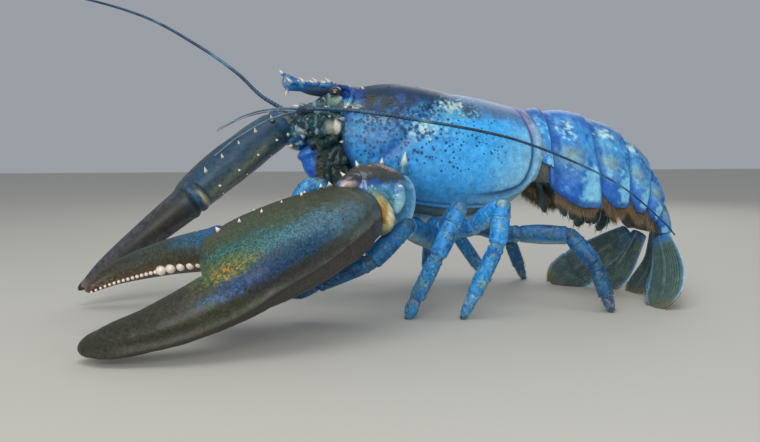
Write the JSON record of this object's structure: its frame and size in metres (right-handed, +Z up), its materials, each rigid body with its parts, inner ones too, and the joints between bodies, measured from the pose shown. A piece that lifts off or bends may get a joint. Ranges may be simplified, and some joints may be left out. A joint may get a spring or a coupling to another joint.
{
  "type": "american lobster",
  "caption": "Life-size still model of a blue American lobster standing with one claw open on the floor, tail curled down, feelers swept out",
  "frame": {"origin": "on the floor below the middle of the whole animal's box", "axes": "+X towards the tail, -X the way the head and claws point, -Y the animal's left side, +Z up"},
  "size_m": [0.4586, 0.2244, 0.2054],
  "materials": {
    "body_shell": "smooth mottled shell",
    "underside": "smooth mottled shell",
    "tail_shell": "smooth mottled shell",
    "tail_fan": "ribbed, satin",
    "eye": "wet black",
    "eye_stalk": "soft skin",
    "head_limb": "smooth mottled shell",
    "feeler": "ringed, satin",
    "claw_shell": "smooth mottled shell",
    "arm_shell": "smooth mottled shell",
    "leg_shell": "smooth mottled shell"
  },
  "bodies": {
    "root": {"carapace": "body_shell", "thorax_underside": "underside", "tail_segment_1": "tail_shell", "tail_segment_2": "tail_shell", "tail_segment_3": "tail_shell", "tail_segment_4": "tail_shell", "tail_segment_5": "tail_shell", "tail_segment_6": "tail_shell", "telson": "tail_fan", "tail_fan_left_inner": "tail_fan", "tail_fan_left_outer": "tail_fan", "tail_fan_right_inner": "tail_fan", "tail_fan_right_outer": "tail_fan", "eye_left": "eye", "eye_stalk_left": "eye_stalk", "antenna_base_left": "head_limb", "antennule_left": "feeler", "mouth_limb_left": "head_limb", "eye_right": "eye", "eye_stalk_right": "eye_stalk", "antenna_base_right": "head_limb", "antennule_right": "feeler", "mouth_limb_right": "head_limb", "feeler_left_root": "feeler", "feeler_left_tip": "feeler", "feeler_right_root": "feeler", "feeler_right_tip": "feeler", "claw_left_finger": "claw_shell", "claw_left_palm": "claw_shell", "claw_right_finger": "claw_shell", "claw_right_palm": "claw_shell", "claw_left_wrist": "arm_shell", "claw_left_arm": "arm_shell", "claw_right_wrist": "arm_shell", "claw_right_arm": "arm_shell", "leg_1_left_upper": "leg_shell", "leg_1_left_middle": "leg_shell", "leg_1_left_lower": "leg_shell", "leg_2_left_upper": "leg_shell", "leg_2_left_middle": "leg_shell", "leg_2_left_lower": "leg_shell", "leg_3_left_upper": "leg_shell", "leg_3_left_middle": "leg_shell", "leg_3_left_lower": "leg_shell", "leg_4_left_upper": "leg_shell", "leg_4_left_middle": "leg_shell", "leg_4_left_lower": "leg_shell", "leg_1_right_upper": "leg_shell", "leg_1_right_middle": "leg_shell", "leg_1_right_lower": "leg_shell", "leg_2_right_upper": "leg_shell", "leg_2_right_middle": "leg_shell", "leg_2_right_lower": "leg_shell", "leg_3_right_upper": "leg_shell", "leg_3_right_middle": "leg_shell", "leg_3_right_lower": "leg_shell", "leg_4_right_upper": "leg_shell", "leg_4_right_middle": "leg_shell", "leg_4_right_lower": "leg_shell"}
  },
  "joints": []
}
